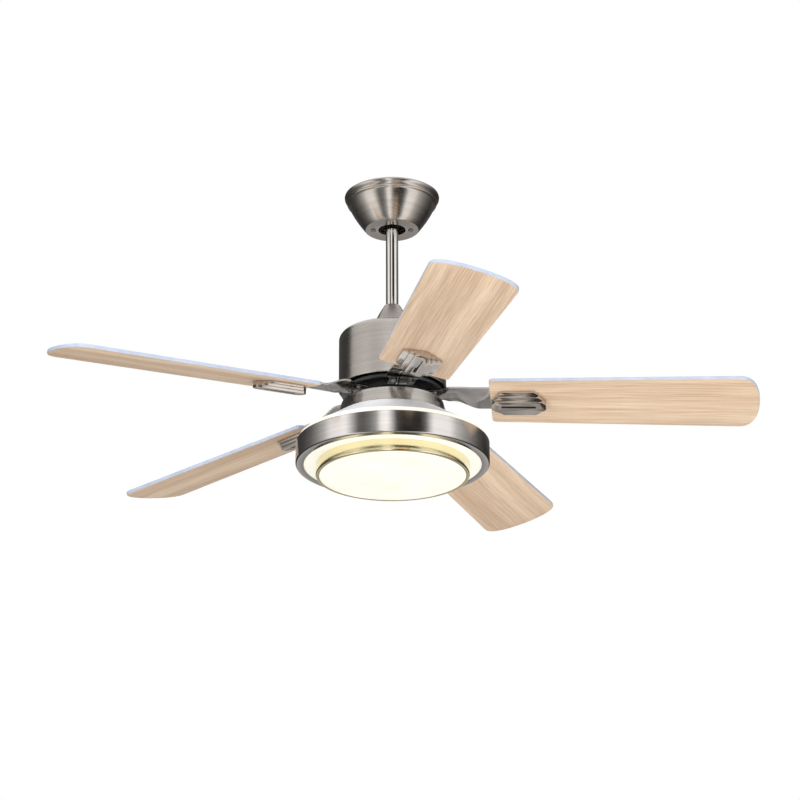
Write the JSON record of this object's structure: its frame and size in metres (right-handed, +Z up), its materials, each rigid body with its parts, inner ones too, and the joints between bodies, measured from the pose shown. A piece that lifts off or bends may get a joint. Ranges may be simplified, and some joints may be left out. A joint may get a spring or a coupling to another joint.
{
  "type": "ceiling fan with light",
  "caption": "Flush-drop ceiling fan: canopy and short downrod carry a motor drum, pitched oak-grain blades on chrome irons, and a stepped round LED light below.",
  "frame": {"origin": "on the ceiling plane, on the fan's axis: the centre of the bracket's top face", "axes": "+Z up into the ceiling along the fan's axis, +X along the hanger bracket; the fan hangs into -Z"},
  "size_m": [1.1563, 1.1695, 0.5188],
  "materials": {
    "zinc_steel": "zinc-plated pressed steel, satin",
    "brushed_nickel": "brushed nickel plate on spun steel, warm grey, brushed round the axis",
    "dark_nickel": "dark brushed nickel plate",
    "ball_plastic": "black moulded nylon",
    "polished_steel": "polished nickel plate on steel pipe",
    "bearing_steel": "ground steel",
    "laminated_steel": "stacked electrical steel sheets",
    "copper_wire": "enamelled copper wire",
    "ferrite": "sintered ferrite",
    "black_enamel": "satin black enamel on die-cast aluminium",
    "chrome": "polished chrome plate on steel bar",
    "pale_oak": "pale oak-grain laminate on plywood, satin",
    "module_plastic": "white moulded plastic",
    "white_enamel": "satin white enamel on spun steel",
    "led_board": "white solder mask on aluminium",
    "glowing_acrylic": "frosted warm-white acrylic, lit from inside"
  },
  "bodies": {
    "ceiling_mount": {"hanger_bracket": "zinc_steel", "canopy": "brushed_nickel", "canopy_screw_left": "dark_nickel", "canopy_screw_right": "dark_nickel"},
    "hanging_body": {"ball_cross_pin": "zinc_steel", "motor_yoke": "zinc_steel", "yoke_clevis_pin": "zinc_steel", "yoke_set_screw": "zinc_steel", "shaft_nut": "zinc_steel", "motor_housing": "brushed_nickel", "switch_housing": "brushed_nickel", "outer_trim_ring": "brushed_nickel", "inner_trim_ring": "brushed_nickel", "hanger_ball": "ball_plastic", "downrod": "polished_steel", "motor_shaft": "bearing_steel", "yoke_pin_clip": "bearing_steel", "bearing_inner_race_upper": "bearing_steel", "bearing_inner_race_lower": "bearing_steel", "stator_core": "laminated_steel", "stator_winding": "copper_wire", "led_driver": "module_plastic", "remote_receiver": "module_plastic", "light_pan": "white_enamel", "led_board": "led_board", "main_diffuser": "glowing_acrylic", "centre_diffuser": "glowing_acrylic"},
    "cover": {"coupling_cover": "dark_nickel"},
    "rotor": {"rotor_upper_shell": "zinc_steel", "rotor_lower_shell": "black_enamel", "rotor_magnet_ring": "ferrite", "bearing_outer_race_upper": "bearing_steel", "bearing_outer_race_lower": "bearing_steel", "blade_iron_1": "chrome", "blade_1": "pale_oak", "medallion_1": "brushed_nickel", "iron_screw_1_a": "zinc_steel", "iron_screw_1_b": "zinc_steel", "blade_iron_2": "chrome", "blade_2": "pale_oak", "medallion_2": "brushed_nickel", "iron_screw_2_a": "zinc_steel", "iron_screw_2_b": "zinc_steel", "blade_iron_3": "chrome", "blade_3": "pale_oak", "medallion_3": "brushed_nickel", "iron_screw_3_a": "zinc_steel", "iron_screw_3_b": "zinc_steel", "blade_iron_4": "chrome", "blade_4": "pale_oak", "medallion_4": "brushed_nickel", "iron_screw_4_a": "zinc_steel", "iron_screw_4_b": "zinc_steel", "blade_iron_5": "chrome", "blade_5": "pale_oak", "medallion_5": "brushed_nickel", "iron_screw_5_a": "zinc_steel", "iron_screw_5_b": "zinc_steel"},
    "upper_ball_cage": {"bearing_ball_cage_upper": "bearing_steel"},
    "lower_ball_cage": {"bearing_ball_cage_lower": "bearing_steel"}
  },
  "joints": [
    {"name": "hanger_tilt", "type": "hinge", "parent": "ceiling_mount", "child": "hanging_body", "pos_m": [0, 0, -0.02411], "axis": [1, 0, 0], "range_deg": [-12, 12]},
    {"name": "cover_lift", "type": "slide", "parent": "hanging_body", "child": "cover", "axis": [0, 0, 1], "range_m": [0, 0.05]},
    {"name": "rotor_spin", "type": "hinge", "parent": "hanging_body", "child": "rotor", "pos_m": [0, 0, -0.312], "axis": [0, 0, 1], "continuous": true},
    {"name": "upper_cage_spin", "type": "hinge", "parent": "hanging_body", "child": "upper_ball_cage", "pos_m": [0, 0, -0.281], "axis": [0, 0, 1], "continuous": true},
    {"name": "lower_cage_spin", "type": "hinge", "parent": "hanging_body", "child": "lower_ball_cage", "pos_m": [0, 0, -0.361], "axis": [0, 0, 1], "continuous": true}
  ],
  "couplings": [
    {"joint": "upper_cage_spin", "follows": "rotor_spin", "ratio": 0.592},
    {"joint": "lower_cage_spin", "follows": "rotor_spin", "ratio": 0.592}
  ]
}
